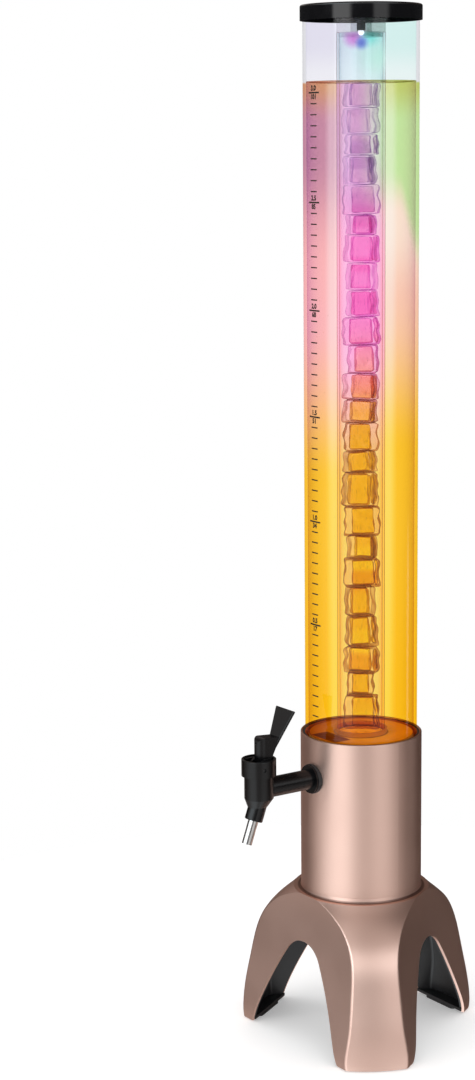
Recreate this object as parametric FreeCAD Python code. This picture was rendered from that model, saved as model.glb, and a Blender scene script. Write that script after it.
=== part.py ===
"""Beer tower: a clear tube on a three-legged stand, with a lift-out ice tube, a lit lid and a lever tap.

Millimetres. The origin is on the tower's axis at the level it stands on, +Z is up, and the tap points along -Y.
Angles round the axis are counted in degrees from the tap's side (-Y) towards +X.
Each function makes one piece, or one set of like pieces, in its place. NODES at the end names them all.
"""
import FreeCAD, Part
import math
import os

Vec = FreeCAD.Vector
UP = Vec(0, 0, 1)
TO_TAP = Vec(0, -1, 0)
ACROSS = Vec(1, 0, 0)
ORIGIN = Vec(0, 0, 0)

# ---- Fits ----
slip = 0.2             # radial, between fixed pieces that slide together by hand
running_gap = 0.3      # between bodies that move past or rest on each other
pivot_play = 0.05      # radial, round a pin that turns or a stem that slides
thread_play = 0.05     # radial, between a screw thread and its hole

# ---- Tubes ----
tube_od = 100.0
tube_wall = 3.0
tube_length = 652.2
ice_od = 42.0
ice_wall = 2.0
ice_floor = 3.0
ice_shortfall = 40.1   # how much shorter the ice tube is than the main tube

# ---- Stand: a hollow tripod moulding with three arched sides ----
stand_height = 135.0
foot_reach = 109.3     # tower axis to the outside of a leg, at the floor
foot_side = 76.4       # tower axis to the flat side between two legs, at the floor
deck_corner = 6.8      # how far the stand's top reaches beyond the collar, over a leg
deck_side = 5.3        # the same, over an arch
ridge_radius = 3.5     # rounding between a leg's front and its sides
shell_wall = 2.5
deck_wall = 2.5
shell_lift = 1.0       # the shell's lower edge above the floor
liner_wall = 2.2
liner_setback = 1.2    # how far the liner's arch stays behind the shell's
flank_at_foot = 13.0   # width of a leg's side face beside the arch, at the floor
arch_height = 93.5
arch_crown_radius = 30.5
arch_side_radius = 350.0
# Rows from floor to deck: share of the stand's height, then the shares of the way from the deck's size to the
# foot's size that a leg's front and an arched side have there.
LEG_CURVE = (
    (0.000, 1.000, 1.000),
    (0.222, 0.995, 0.890),
    (0.444, 0.885, 0.600),
    (0.630, 0.772, 0.367),
    (0.778, 0.596, 0.178),
    (0.889, 0.345, 0.055),
    (0.963, 0.110, 0.010),
    (1.000, 0.000, 0.000),
)

# ---- Rubber foot pads, and the webs in the liner that carry them ----
pad_thickness = 2.0
pad_width = 40.0
pad_depth = 11.0
web_thickness = 2.5
web_depth = 15.0

# ---- Collar and the core inside it, which holds the tube ----
collar_height = 144.0
collar_wall = 2.0
collar_flare = 0.8
collar_flare_height = 4.0
collar_rim_radius = 0.8
core_wall = 3.0
core_rim_drop = 1.0    # the core's rim below the collar's
seat_wall = 1.8        # core wall outside the tube
seat_depth = 25.0      # depth of the groove that the tube stands in
seat_floor = 3.0
tube_gasket_height = 3.0
seat_inner_wall = 3.0
floor_drop = 0.5       # the vessel's floor below the core's rim
floor_thickness = 3.5
socket_wall = 2.0
socket_height = 4.0

# ---- Sump: a pocket in the vessel's floor, where the tap drinks ----
sump_half_width = 17.0
sump_depth = 16.5      # along Y
sump_below_tap = 18.0  # the sump's floor below the tap's axis
sump_wall = 3.0
sump_corner = 5.0
sump_face = 42.0       # tower axis to the flat wall that the tap's nut clamps

# ---- Screws from under the deck into the core ----
screw_radius = 2.0
screw_length = 16.0
screw_head_radius = 4.0
screw_head_height = 2.6
screw_circle = 44.5
screw_boss_radius = 5.0
screw_boss_height = 26.0
screw_tip_room = 2.0

# ---- Tap ----
tap_drop = 36.0        # the shank's axis below the collar's rim
tap_reach = 112.0      # tower axis to the tap's own upright axis
shank_radius = 8.0
arm_radius = 8.9       # of the shank outside the flange
shank_bore = 5.0
shank_room = 9.0       # the shank's end beyond the sump's wall
shank_boss_radius = 12.0
flange_radius = 12.6
flange_thickness = 1.6
washer_radius = 13.2
washer_thickness = 2.4 # at the collar's nearest point
inner_gasket_radius = 12.0
inner_gasket_thickness = 2.0
nut_across_flats = 24.0
nut_thickness = 5.0
barrel_radius = 12.85
barrel_top = 13.0      # heights in this block are above the shank's axis
barrel_taper_from = -7.5
barrel_taper_to = -14.7
barrel_taper_radius = 8.8
chamber_radius = 9.5
chamber_floor = -9.0
outlet_radius = 4.2
nozzle_tilt = 20.0     # degrees, outwards
nozzle_start = -10.0
nozzle_end = -27.0
nozzle_radius = 8.0
nozzle_round = 1.0
nozzle_bore_radius = 4.0
spout_radius = 4.5
spout_insert_radius = 4.3
spout_bore_radius = 3.7
spout_end = -47.0
spout_insert_from = 6.0 # the spout's upper end, along the nozzle from nozzle_start

# ---- Bonnet, which screws into the barrel and carries the lever ----
bonnet_radius = 15.25
bonnet_top = 28.0
bonnet_well_radius = 13.25
bonnet_shelf = 2.0
bonnet_round = 0.6
bonnet_slot_play = 0.6 # between the lever and the webs that close the well beside it
bonnet_web = 1.4
bonnet_web_sunk = 1.0
spigot_wall = 1.8
spigot_length = 7.0
stem_seal_radius = 4.1
stem_seal_height = 1.4

# ---- Lever, leaning back over the shank when closed. "Out" is away from the tower, from the tap's axis ----
pivot_out = 4.0
pivot_up = 20.5
lever_pin_radius = 1.5
lever_pin_half = 13.9
lever_boss_radius = 4.2
lever_half_width = 8.0 # of the yoke that straddles the stem
cheek_thickness = 3.0
yoke_front_out = -1.0
yoke_back_out = -8.5
yoke_bottom_up = 26.0
yoke_height = 1.8
hump_half_width = 6.3  # the round-nosed hump in front of the blade
hump_front_out = 3.3
hump_top_up = 47.2     # at the front
hump_top_fall = 1.7    # towards the blade
hump_round = 6.2
blade_lean = 25.8      # degrees from upright
blade_back_out = -11.2 # where the blade's back face crosses the bonnet's top
blade_thickness = 2.4
blade_top_up = 67.5
blade_top_half = 13.4
blade_neck_half = 8.2  # at the hump's top
blade_edge_round = 0.8

# ---- Valve ----
stem_radius = 2.2
stem_head_radius = 4.0
stem_head_height = 2.0
lift_stub_radius = 1.5 # stubs on the lever that lift the stem by its head
lift_stub_out = 0.0
stem_foot_up = -5.0
stem_foot_radius = 5.9
stem_foot_height = 1.5
seal_radius = 6.2
seal_taper = 0.9
seal_seat_gap = 0.1
spring_radius = 5.0
spring_wire = 0.45
spring_turns = 6.0
spring_end_gap = 0.15

# ---- Lid and its light ----
lid_plate = 3.0
lid_crown = 1.6
lid_skirt = 10.0
lid_wall = 1.9
lid_round = 1.8
lid_gasket_height = 1.5
lid_gasket_width = 2.6
light_radius = 17.0
light_pocket = 1.0     # depth of the pocket in the lid that locates the light
light_roof = 1.2
light_wall = 1.8
cover_thickness = 2.2
neck_radius = 6.5
neck_height = 3.0
bulb_stem_radius = 3.7
bulb_stem_height = 6.5
bulb_radius = 2.5
bulb_flange = 0.4
bulb_length = 6.0
bulb_seat = 2.0        # how deep the bulb's lower end sits in its stem
cell_radius = 10.0
cell_height = 3.2
board_radius = 10.5
board_thickness = 1.0
switch_radius = 2.0
switch_height = 0.4
stack_gap = 0.1
button_radius = 4.0
button_flange = 0.8
button_flange_height = 0.8
button_travel = 0.8
button_proud = 0.5
light_screw_radius = 1.0
light_screw_head = 1.9
light_screw_head_height = 1.1
light_screw_circle = 13.2
light_boss_radius = 2.1
light_screw_grip = 1.2 # how far the screws go into the lid

# ---- Frosted plug under the lid, which closes the ice tube and keeps it upright ----
plug_spigot = 4.0
plug_spigot_wall = 2.0
plug_bore_radius = 9.0
plug_web = 1.6

# ---- Sizes worked out from those above ----
side_angles = (0.0, 120.0, 240.0)
leg_angles = (60.0, 180.0, 300.0)
tube_r = tube_od / 2
tube_ir = tube_r - tube_wall
ice_r = ice_od / 2
seat_r = tube_r + slip
hub_r = tube_ir - slip
core_r = seat_r + seat_wall
collar_ir = core_r + slip
collar_r = collar_ir + collar_wall
deck_z = stand_height
collar_top = deck_z + collar_height
core_top = collar_top - core_rim_drop
seat_z = core_top - seat_depth
tube_bottom = seat_z + tube_gasket_height
tube_top = tube_bottom + tube_length
vessel_floor = core_top - floor_drop
tap_z = collar_top - tap_drop
ice_length = tube_length - ice_shortfall
ice_bottom = vessel_floor + running_gap
ice_top = ice_bottom + ice_length
lid_under = tube_top + running_gap + lid_gasket_height
lid_edge_top = lid_under + lid_plate
lid_bottom = lid_under - lid_skirt
lid_ir = tube_r + running_gap
lid_r = lid_ir + lid_wall
lid_crown_radius = (lid_r ** 2 + lid_crown ** 2) / (2 * lid_crown)
light_top = lid_under + light_pocket
button_flange_top = light_top - light_roof - stack_gap
board_top = button_flange_top - button_flange_height - button_travel - switch_height - stack_gap
cell_top = board_top - board_thickness - stack_gap
cover_top = cell_top - cell_height - stack_gap
cover_bottom = cover_top - cover_thickness
plug_low = ice_top + running_gap
liner_inset = shell_wall + slip
screw_seat = deck_z - deck_wall - liner_wall
washer_face = collar_r + washer_thickness
spigot_r = chamber_radius - thread_play
head_under = pivot_up + lift_stub_radius + running_gap


# ---- Helpers ----
def polar(radius, angle, height=0.0):
    a = math.radians(angle)
    return Vec(radius * math.sin(a), -radius * math.cos(a), height)


def disc(radius, low, high, at=ORIGIN):
    return Part.makeCylinder(radius, high - low, Vec(at.x, at.y, low), UP)


def ring(inner, outer, low, high, at=ORIGIN):
    return disc(outer, low, high, at).cut(disc(inner, low, high, at))


def rod(radius, start, end):
    return Part.makeCylinder(radius, (end - start).Length, start, end - start)


def prism(points, direction):
    """A straight prism whose end is the closed polygon through the points."""
    return Part.Face(Part.makePolygon(list(points) + [points[0]])).extrude(direction)


def turn(shape, angle):
    """A copy turned about the tower's axis."""
    copy = shape.copy()
    copy.rotate(ORIGIN, UP, angle)
    return copy


def round_edges(shape, radius, wanted):
    """Rounds the edges that wanted() picks."""
    return shape.makeFillet(radius, [e for e in shape.Edges if wanted(e)])


def at_height(z):
    """Picks the edges that lie flat at one height."""
    return lambda e: abs(e.BoundBox.ZMin - z) < 0.01 and abs(e.BoundBox.ZMax - z) < 0.01


def upright(e):
    """Picks straight edges along Z."""
    return isinstance(e.Curve, Part.Line) and e.BoundBox.XLength + e.BoundBox.YLength < 0.01


def tap_point(out, up, across=0.0):
    """A point given from the tap's own axis and the shank's height."""
    return Vec(across, -(tap_reach + out), tap_z + up)


def tap_disc(radius, low, high):
    """An upright cylinder on the tap's axis."""
    return Part.makeCylinder(radius, high - low, tap_point(0, low), UP)


def tap_ring(inner, outer, low, high):
    return tap_disc(outer, low, high).cut(tap_disc(inner, low, high))


def plate(points, half_width):
    """A plate across the tap, from its (out, up) outline."""
    return prism([tap_point(out, up, -half_width) for out, up in points], ACROSS * (2 * half_width))


def shank_rod(radius, start, end):
    """A cylinder round the shank's axis, between two distances from the tower's axis."""
    return rod(radius, Vec(0, -start, tap_z), Vec(0, -end, tap_z))


def nozzle_point(distance):
    a = math.radians(nozzle_tilt)
    return tap_point(distance * math.sin(a), nozzle_start - distance * math.cos(a))


def nozzle_distance(up):
    """How far along the nozzle's axis a height lies."""
    return (nozzle_start - up) / math.cos(math.radians(nozzle_tilt))


# ---- Stand ----
def stand_section(height, reach, side):
    """One level outline of the tripod: three flat sides and three round fronts, with rounded ridges between."""
    edges = []
    half = math.sqrt((reach - ridge_radius) ** 2 - (side - ridge_radius) ** 2)
    grow = reach / (reach - ridge_radius)
    level = Vec(0, 0, height)
    for angle in side_angles:
        normal = polar(1, angle)
        along = polar(1, angle + 90)
        next_normal = polar(1, angle + 120)
        next_along = polar(1, angle + 210)
        flat_start = normal * side - along * half + level
        flat_end = normal * side + along * half + level
        centre = normal * (side - ridge_radius) + along * half
        next_centre = next_normal * (side - ridge_radius) - next_along * half
        ridge_end = centre * grow + level
        next_ridge = next_centre * grow + level
        next_flat = next_normal * side - next_along * half + level
        middle = normal + unit(centre)
        next_middle = next_normal + unit(next_centre)
        edges.append(Part.makeLine(flat_start, flat_end))
        edges.append(Part.Arc(flat_end, centre + unit(middle) * ridge_radius + level, ridge_end).toShape())
        edges.append(Part.Arc(ridge_end, polar(reach, angle + 60, height), next_ridge).toShape())
        next_bulge = next_centre + unit(next_middle) * ridge_radius + level
        edges.append(Part.Arc(next_ridge, next_bulge, next_flat).toShape())
    return Part.Wire(edges)


def unit(v):
    return v * (1 / v.Length)


def stand_form(inset):
    """The tripod's outer form, drawn in all round by inset, from its lower edge to the deck."""
    sections = []
    for up, reach_share, side_share in LEG_CURVE:
        reach = collar_r + deck_corner + reach_share * (foot_reach - collar_r - deck_corner)
        side = collar_r + deck_side + side_share * (foot_side - collar_r - deck_side)
        height = shell_lift + up * (stand_height - shell_lift)
        sections.append(stand_section(height, reach - inset, side - inset))
    return Part.makeLoft(sections, True, False)


def below(shape, z):
    """The part of a stand form below a level."""
    reach = foot_reach * 2
    return shape.common(Part.makeBox(2 * reach, 2 * reach, z, Vec(-reach, -reach, 0)))


def arch_cuts(grow):
    """Three arched openings through the sides, each larger all round by grow."""
    foot_half = math.sqrt(foot_reach ** 2 - foot_side ** 2) - flank_at_foot + grow
    radius = arch_crown_radius + grow
    crown = arch_height + grow
    centre_up = crown - radius
    reach = math.hypot(foot_half, centre_up)
    span = arch_side_radius - radius
    lean = math.acos((arch_side_radius ** 2 - span ** 2 - reach ** 2) / (2 * span * reach))
    join = lean - math.atan2(centre_up, foot_half)
    join_across = radius * math.cos(join)
    join_up = centre_up + radius * math.sin(join)
    hub_across = -span * math.cos(join)
    hub_up = centre_up - span * math.sin(join)
    middle = (math.atan2(-hub_up, foot_half - hub_across) + join) / 2
    side_across = hub_across + arch_side_radius * math.cos(middle)
    side_up = hub_up + arch_side_radius * math.sin(middle)
    foot = Vec(foot_half, 0, 0)
    side = Vec(side_across, 0, side_up)
    shoulder = Vec(join_across, 0, join_up)
    top = Vec(0, 0, crown)
    mirror = [Vec(-p.x, 0, p.z) for p in (foot, side, shoulder)]
    outline = Part.Wire([
        Part.Arc(foot, side, shoulder).toShape(),
        Part.Arc(shoulder, top, mirror[2]).toShape(),
        Part.Arc(mirror[2], mirror[1], mirror[0]).toShape(),
        Part.makeLine(mirror[0], foot),
    ])
    cut = Part.Face(outline).extrude(TO_TAP * foot_reach)
    return [turn(cut, angle) for angle in side_angles]


def screw_places():
    return [polar(screw_circle, angle) for angle in side_angles]


def base_shell():
    shell = stand_form(0).cut(below(stand_form(shell_wall), deck_z - deck_wall))
    holes = [disc(screw_radius + slip, screw_seat, deck_z, at) for at in screw_places()]
    return shell.cut(arch_cuts(0) + holes)


def foot_webs():
    """The shelf in the foot of each leg that its pad is stuck under."""
    slab = below(stand_form(liner_inset), pad_thickness + web_thickness)
    slab = slab.cut(disc(foot_reach * 2, 0, pad_thickness))
    front = foot_reach - liner_inset
    keep = Part.makeBox(foot_reach, web_depth, stand_height, Vec(-foot_reach / 2, front - web_depth, 0))
    return [slab.common(turn(keep, angle - 180)) for angle in leg_angles]


def base_liner():
    outer = below(stand_form(liner_inset), deck_z - deck_wall)
    inner = below(stand_form(liner_inset + liner_wall), screw_seat)
    liner = outer.cut(inner).cut(disc(foot_reach * 2, 0, pad_thickness)).cut(arch_cuts(liner_setback))
    holes = [disc(screw_radius + slip, screw_seat, deck_z, at) for at in screw_places()]
    return liner.fuse(foot_webs()).cut(holes).removeSplitter()


def foot_pads():
    front = foot_reach - liner_inset - liner_wall
    corner = Vec(-pad_width / 2, front - web_depth / 2 - pad_depth / 2, 0)
    pad = round_edges(Part.makeBox(pad_width, pad_depth, pad_thickness, corner), pad_depth / 3, upright)
    return Part.makeCompound([turn(pad, angle - 180) for angle in leg_angles])


def base_screws():
    screws = []
    for at in screw_places():
        head = disc(screw_head_radius, screw_seat - screw_head_height, screw_seat, at)
        head = round_edges(head, screw_head_height / 2, at_height(screw_seat - screw_head_height))
        screws.append(head.fuse(disc(screw_radius, screw_seat, screw_seat + screw_length, at)))
    return Part.makeCompound(screws)


# ---- Collar and core ----
def collar():
    body = ring(collar_ir, collar_r, deck_z, collar_top)
    body = round_edges(body, collar_rim_radius, at_height(collar_top))
    cone = Part.makeCone(collar_r + collar_flare, collar_r, collar_flare_height, Vec(0, 0, deck_z), UP)
    flare = cone.cut(disc(collar_ir, deck_z, collar_top))
    return body.fuse(flare).removeSplitter().cut(shank_rod(shank_radius + slip, 0, foot_reach))


def base_core():
    wall = ring(core_r - core_wall, core_r, deck_z, seat_z)
    seat = ring(hub_r - seat_inner_wall, core_r, seat_z - seat_floor, core_top)
    floor = disc(hub_r, vessel_floor - floor_thickness, vessel_floor)
    sump_low = tap_z - sump_below_tap
    sump_high = vessel_floor - floor_thickness / 2
    half = sump_half_width + sump_wall
    depth = sump_depth + 2 * sump_wall
    block = Part.makeBox(2 * half, depth, sump_high - sump_low + sump_wall,
                         Vec(-half, -sump_face - sump_wall, sump_low - sump_wall))
    block = block.common(disc(hub_r, deck_z, core_top))
    boss = shank_rod(shank_boss_radius, sump_face, core_r - core_wall / 2)
    socket = ring(ice_r + running_gap, ice_r + running_gap + socket_wall,
                  vessel_floor - floor_thickness / 2, vessel_floor + socket_height)
    screw_bosses = [disc(screw_boss_radius, deck_z, deck_z + screw_boss_height, at) for at in screw_places()]
    body = wall.fuse([seat, floor, block, boss, socket] + screw_bosses)

    groove = ring(hub_r, seat_r, seat_z, core_top)
    above_hub = disc(hub_r, vessel_floor, core_top).cut(disc(ice_r * 1.5, vessel_floor, core_top))
    pocket = Part.makeBox(2 * sump_half_width, sump_depth, core_top - sump_low,
                          Vec(-sump_half_width, -sump_face, sump_low))
    pocket = round_edges(pocket, sump_corner, upright)
    screw_bore = screw_length - deck_wall - liner_wall + screw_tip_room
    bores = [disc(screw_radius + thread_play, deck_z, deck_z + screw_bore, at) for at in screw_places()]
    hole = shank_rod(shank_radius + slip, sump_face - sump_wall, collar_r)
    return body.cut([groove, above_hub, pocket, hole] + bores).removeSplitter()


def tube_gasket():
    return ring(tube_ir, tube_r, seat_z, tube_bottom)


def main_tube():
    return ring(tube_ir, tube_r, tube_bottom, tube_top)


# ---- Ice tube ----
def ice_tube():
    body = disc(ice_r, ice_bottom, ice_top).cut(disc(ice_r - ice_wall, ice_bottom + ice_floor, ice_top))
    return round_edges(body, ice_wall / 2, at_height(ice_bottom))


# ---- Lid ----
def light_screw_places():
    return [polar(light_screw_circle, angle) for angle in leg_angles]


def lid():
    top = lid_edge_top + lid_crown
    form = disc(lid_r, lid_bottom, top)
    form = form.common(Part.makeSphere(lid_crown_radius, Vec(0, 0, top - lid_crown_radius)))
    form = round_edges(form, lid_round, at_height(lid_edge_top))
    form = form.cut(disc(lid_ir, lid_bottom, lid_under))
    cuts = [disc(light_radius + slip, lid_under, light_top)]
    cuts.append(disc(button_radius + pivot_play, lid_under, top))
    screw_end = light_top + light_screw_grip + stack_gap
    for at in light_screw_places():
        cuts.append(disc(light_screw_radius + thread_play, light_top, screw_end, at))
    return form.cut(cuts)


def lid_gasket():
    return ring(lid_ir - lid_gasket_width, lid_ir - stack_gap, lid_under - lid_gasket_height, lid_under)


def lid_plug():
    spigot = ice_r - ice_wall - running_gap
    body = ring(plug_bore_radius, ice_r, plug_low, cover_bottom)
    skirt = ring(spigot - plug_spigot_wall, spigot, plug_low - plug_spigot, plug_low)
    web = ring(neck_radius + slip, ice_r, cover_bottom - plug_web, cover_bottom)
    return body.fuse([skirt, web]).removeSplitter()


def light_housing():
    cup = disc(light_radius, cover_top, light_top)
    cup = cup.cut(disc(light_radius - light_wall, cover_top, light_top - light_roof))
    bosses = [disc(light_boss_radius, cover_top, light_top, at) for at in light_screw_places()]
    holes = [disc(light_screw_radius + thread_play, cover_top, light_top, at) for at in light_screw_places()]
    holes.append(disc(button_radius + pivot_play, cover_top, light_top))
    return cup.fuse(bosses).cut(holes).removeSplitter()


def light_cover():
    neck_low = cover_bottom - neck_height
    stem_low = neck_low - bulb_stem_height
    body = disc(light_radius, cover_bottom, cover_top)
    body = body.fuse([disc(neck_radius, neck_low, cover_bottom), disc(bulb_stem_radius, stem_low, neck_low)])
    cuts = [disc(bulb_radius + bulb_flange + thread_play, stem_low, stem_low + bulb_seat)]
    cuts.append(disc(bulb_radius / 2, stem_low, cover_top))
    head_top = cover_bottom + light_screw_head_height
    for at in light_screw_places():
        cuts.append(disc(light_screw_radius + thread_play, cover_bottom, cover_top, at))
        cuts.append(disc(light_screw_head + thread_play, cover_bottom, head_top, at))
    return body.cut(cuts)


def light_screws():
    screws = []
    seat = cover_bottom + light_screw_head_height
    for at in light_screw_places():
        head = disc(light_screw_head, cover_bottom, seat, at)
        screws.append(head.fuse(disc(light_screw_radius, seat, light_top + light_screw_grip, at)))
    return Part.makeCompound(screws)


def light_bulb():
    seat = cover_bottom - neck_height - bulb_stem_height + bulb_seat
    low = seat - bulb_length
    dome = Part.makeSphere(bulb_radius, Vec(0, 0, low + bulb_radius))
    body = disc(bulb_radius, low + bulb_radius, seat).fuse(dome)
    return body.fuse(disc(bulb_radius + bulb_flange, seat - bulb_flange * 2, seat)).removeSplitter()


def light_board():
    board = disc(board_radius, board_top - board_thickness, board_top)
    return board.fuse(disc(switch_radius, board_top, board_top + switch_height))


def button_cell():
    body = disc(cell_radius, cell_top - cell_height, cell_top)
    return round_edges(body, cell_height / 8, at_height(cell_top - cell_height))


def light_button():
    top = lid_edge_top + lid_crown + button_proud
    body = disc(button_radius - pivot_play, button_flange_top - button_flange_height, top)
    body = round_edges(body, button_proud / 2, at_height(top))
    flange = disc(button_radius + button_flange, button_flange_top - button_flange_height, button_flange_top)
    return body.fuse(flange)


# ---- Tap ----
def tap_body():
    barrel = tap_disc(barrel_radius, barrel_taper_from, barrel_top)
    upper = Part.makeCircle(barrel_radius, tap_point(0, barrel_taper_from), UP)
    nozzle_out = (nozzle_start - barrel_taper_to) * math.tan(math.radians(nozzle_tilt))
    lower = Part.makeCircle(barrel_taper_radius, tap_point(nozzle_out, barrel_taper_to), UP)
    taper = Part.makeLoft([Part.Wire(lower), Part.Wire(upper)], True, True)
    nozzle = rod(nozzle_radius, nozzle_point(0), nozzle_point(nozzle_distance(nozzle_end)))
    nozzle_edges = [e for e in nozzle.Edges if e.BoundBox.ZMax < tap_z + nozzle_end + nozzle_radius]
    nozzle = nozzle.makeFillet(nozzle_round, nozzle_edges)
    shank = shank_rod(shank_radius, sump_face - shank_room, tap_reach)
    flange = shank_rod(flange_radius, washer_face, washer_face + flange_thickness)
    arm = shank_rod(arm_radius, washer_face, tap_reach)
    body = barrel.fuse([taper, nozzle, shank, flange, arm])
    spout_seat = nozzle_point(spout_insert_from)
    nozzle_mouth = nozzle_point(nozzle_distance(nozzle_end))
    cuts = [
        tap_disc(chamber_radius, chamber_floor, barrel_top),
        tap_disc(outlet_radius, nozzle_start - outlet_radius / 2, chamber_floor),
        shank_rod(shank_bore, sump_face - shank_room, tap_reach),
        rod(nozzle_bore_radius, nozzle_point(0), spout_seat),
        rod(spout_insert_radius + thread_play, spout_seat, nozzle_mouth),
    ]
    return body.cut(cuts).removeSplitter()


def tap_washer():
    body = shank_rod(washer_radius, collar_r / 2, washer_face)
    body = body.cut(shank_rod(shank_radius + thread_play, collar_r / 2, washer_face))
    return body.cut(disc(collar_r + thread_play, deck_z, collar_top))


def tap_inner_gasket():
    end = sump_face - inner_gasket_thickness
    body = shank_rod(inner_gasket_radius, end, sump_face)
    return body.cut(shank_rod(shank_radius + thread_play, end, sump_face))


def tap_nut():
    start = sump_face - inner_gasket_thickness
    radius = nut_across_flats / 2 / math.cos(math.radians(30))
    corners = []
    for k in range(6):
        a = math.radians(60 * k)
        corners.append(Vec(radius * math.cos(a), -start, tap_z + radius * math.sin(a)))
    nut = prism(corners, TO_TAP * -nut_thickness)
    return nut.cut(shank_rod(shank_radius + thread_play, start - nut_thickness, start))


def spout_tube():
    start = nozzle_point(spout_insert_from)
    shoulder = nozzle_point(nozzle_distance(nozzle_end))
    end = nozzle_point(nozzle_distance(spout_end))
    body = rod(spout_insert_radius, start, shoulder).fuse(rod(spout_radius, shoulder, end))
    return body.cut(rod(spout_bore_radius, start, end))


def bonnet():
    low = barrel_top
    body = tap_disc(bonnet_radius, low, bonnet_top)
    body = round_edges(body, bonnet_round, at_height(tap_z + bonnet_top))
    body = body.cut(tap_disc(bonnet_well_radius, low + bonnet_shelf, bonnet_top))
    web_top = bonnet_top - bonnet_web_sunk
    slot = plate([
        (-bonnet_radius, low),
        (bonnet_radius, low),
        (bonnet_radius, bonnet_top),
        (-bonnet_radius, bonnet_top),
    ], lever_half_width + bonnet_slot_play)
    webs = tap_disc(bonnet_well_radius + bonnet_round, web_top - bonnet_web, web_top).cut(slot)
    body = body.fuse([tap_ring(spigot_r - spigot_wall, spigot_r, low - spigot_length, low), webs])
    pin_ends = [tap_point(pivot_out, pivot_up, bonnet_radius * side) for side in (-1, 1)]
    cuts = [
        tap_disc(stem_radius + pivot_play, low, low + bonnet_shelf),
        tap_disc(stem_seal_radius + thread_play, low, low + stem_seal_height),
        rod(lever_pin_radius + thread_play, *pin_ends),
    ]
    return body.cut(cuts).removeSplitter()


def stem_seal():
    return tap_ring(stem_radius + pivot_play, stem_seal_radius, barrel_top, barrel_top + stem_seal_height)


def lever_pin():
    ends = [tap_point(pivot_out, pivot_up, lever_pin_half * s) for s in (-1, 1)]
    return rod(lever_pin_radius, *ends)


# ---- Lever ----
def lever():
    lean = math.radians(blade_lean)
    front_step = blade_thickness / math.cos(lean)
    yoke_top_up = yoke_bottom_up + yoke_height
    hump_back_up = hump_top_up - hump_top_fall

    def back_out(up):
        return blade_back_out - (up - bonnet_top) * math.tan(lean)

    hump = plate([
        (hump_front_out, yoke_bottom_up),
        (hump_front_out, hump_top_up),
        (back_out(hump_back_up) + front_step / 2, hump_back_up),
        (back_out(yoke_bottom_up) + front_step / 2, yoke_bottom_up),
    ], hump_half_width)
    front = tap_point(hump_front_out, 0).y
    top = tap_z + hump_top_up
    hump = round_edges(hump, hump_round,
                       lambda e: e.BoundBox.ZMin > top - 0.01 and e.BoundBox.YMax < front + 0.01)
    nose_out = hump_front_out - hump_half_width
    nose = Part.makeCylinder(hump_half_width, hump_top_up, tap_point(nose_out, 0), UP)
    behind = plate([(nose_out, 0), (nose_out, hump_top_up), (-tap_reach, hump_top_up), (-tap_reach, 0)],
                   hump_half_width)
    hump = hump.common(nose.fuse(behind))

    spread = (blade_top_half - blade_neck_half) / (blade_top_up - hump_top_up)
    high = blade_top_up + blade_thickness
    half_low = blade_neck_half + (yoke_bottom_up - hump_top_up) * spread
    half_high = blade_neck_half + (high - hump_top_up) * spread
    tip_out = back_out(blade_top_up)
    blade = plate([
        (back_out(yoke_bottom_up) + front_step, yoke_bottom_up),
        (tip_out + blade_thickness * math.cos(lean), blade_top_up + blade_thickness * math.sin(lean)),
        (tip_out, blade_top_up),
        (back_out(yoke_bottom_up), yoke_bottom_up),
    ], 2 * blade_top_half)
    outline = [Vec(-half_low, 0, tap_z + yoke_bottom_up), Vec(half_low, 0, tap_z + yoke_bottom_up),
               Vec(half_high, 0, tap_z + high), Vec(-half_high, 0, tap_z + high)]
    blade = blade.common(prism(outline, TO_TAP * 2 * tap_reach))
    blade = blade.makeFillet(blade_edge_round, blade.Edges)

    yoke = plate([
        (yoke_front_out, yoke_bottom_up),
        (yoke_front_out, yoke_top_up),
        (yoke_back_out, yoke_top_up),
        (yoke_back_out, yoke_bottom_up),
    ], lever_half_width)

    cheek_half = lever_half_width - cheek_thickness / 2
    cheeks = []
    for sign in (-1, 1):
        inner = tap_point(0, 0, sign * (lever_half_width - cheek_thickness))
        outer = tap_point(0, 0, sign * lever_half_width)
        shift = outer - inner
        boss = Part.makeCylinder(lever_boss_radius, cheek_thickness,
                                 tap_point(pivot_out, pivot_up, inner.x), shift)
        web = prism([tap_point(out, up, inner.x) for out, up in (
            (yoke_front_out, yoke_top_up),
            (pivot_out + lever_boss_radius * 0.8, pivot_up + lever_boss_radius * 0.6),
            (pivot_out, pivot_up - lever_boss_radius),
            (lift_stub_out - lift_stub_radius, pivot_up - lift_stub_radius * 1.5),
            (lift_stub_out - lift_stub_radius * 2, pivot_up),
            (yoke_back_out, yoke_top_up),
        )], shift)
        stub_tip = tap_point(lift_stub_out, pivot_up, sign * (stem_radius + 2 * running_gap))
        stub = rod(lift_stub_radius, stub_tip, tap_point(lift_stub_out, pivot_up, sign * cheek_half))
        cheeks += [boss, web, stub]
    body = yoke.fuse([hump, blade] + cheeks)
    pin_hole = rod(lever_pin_radius + pivot_play, tap_point(pivot_out, pivot_up, -bonnet_radius),
                   tap_point(pivot_out, pivot_up, bonnet_radius))
    return body.cut(pin_hole).removeSplitter()


# ---- Valve ----
def valve_plunger():
    stem = tap_disc(stem_radius, stem_foot_up, head_under + stem_head_height)
    head = tap_disc(stem_head_radius, head_under, head_under + stem_head_height)
    head = round_edges(head, stem_head_height / 3, at_height(tap_z + head_under + stem_head_height))
    foot = tap_disc(stem_foot_radius, stem_foot_up, stem_foot_up + stem_foot_height)
    return stem.fuse([head, foot]).removeSplitter()


def valve_seal():
    low = chamber_floor + seal_seat_gap
    return Part.makeCone(seal_radius - seal_taper, seal_radius, stem_foot_up - low, tap_point(0, low), UP)


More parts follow.
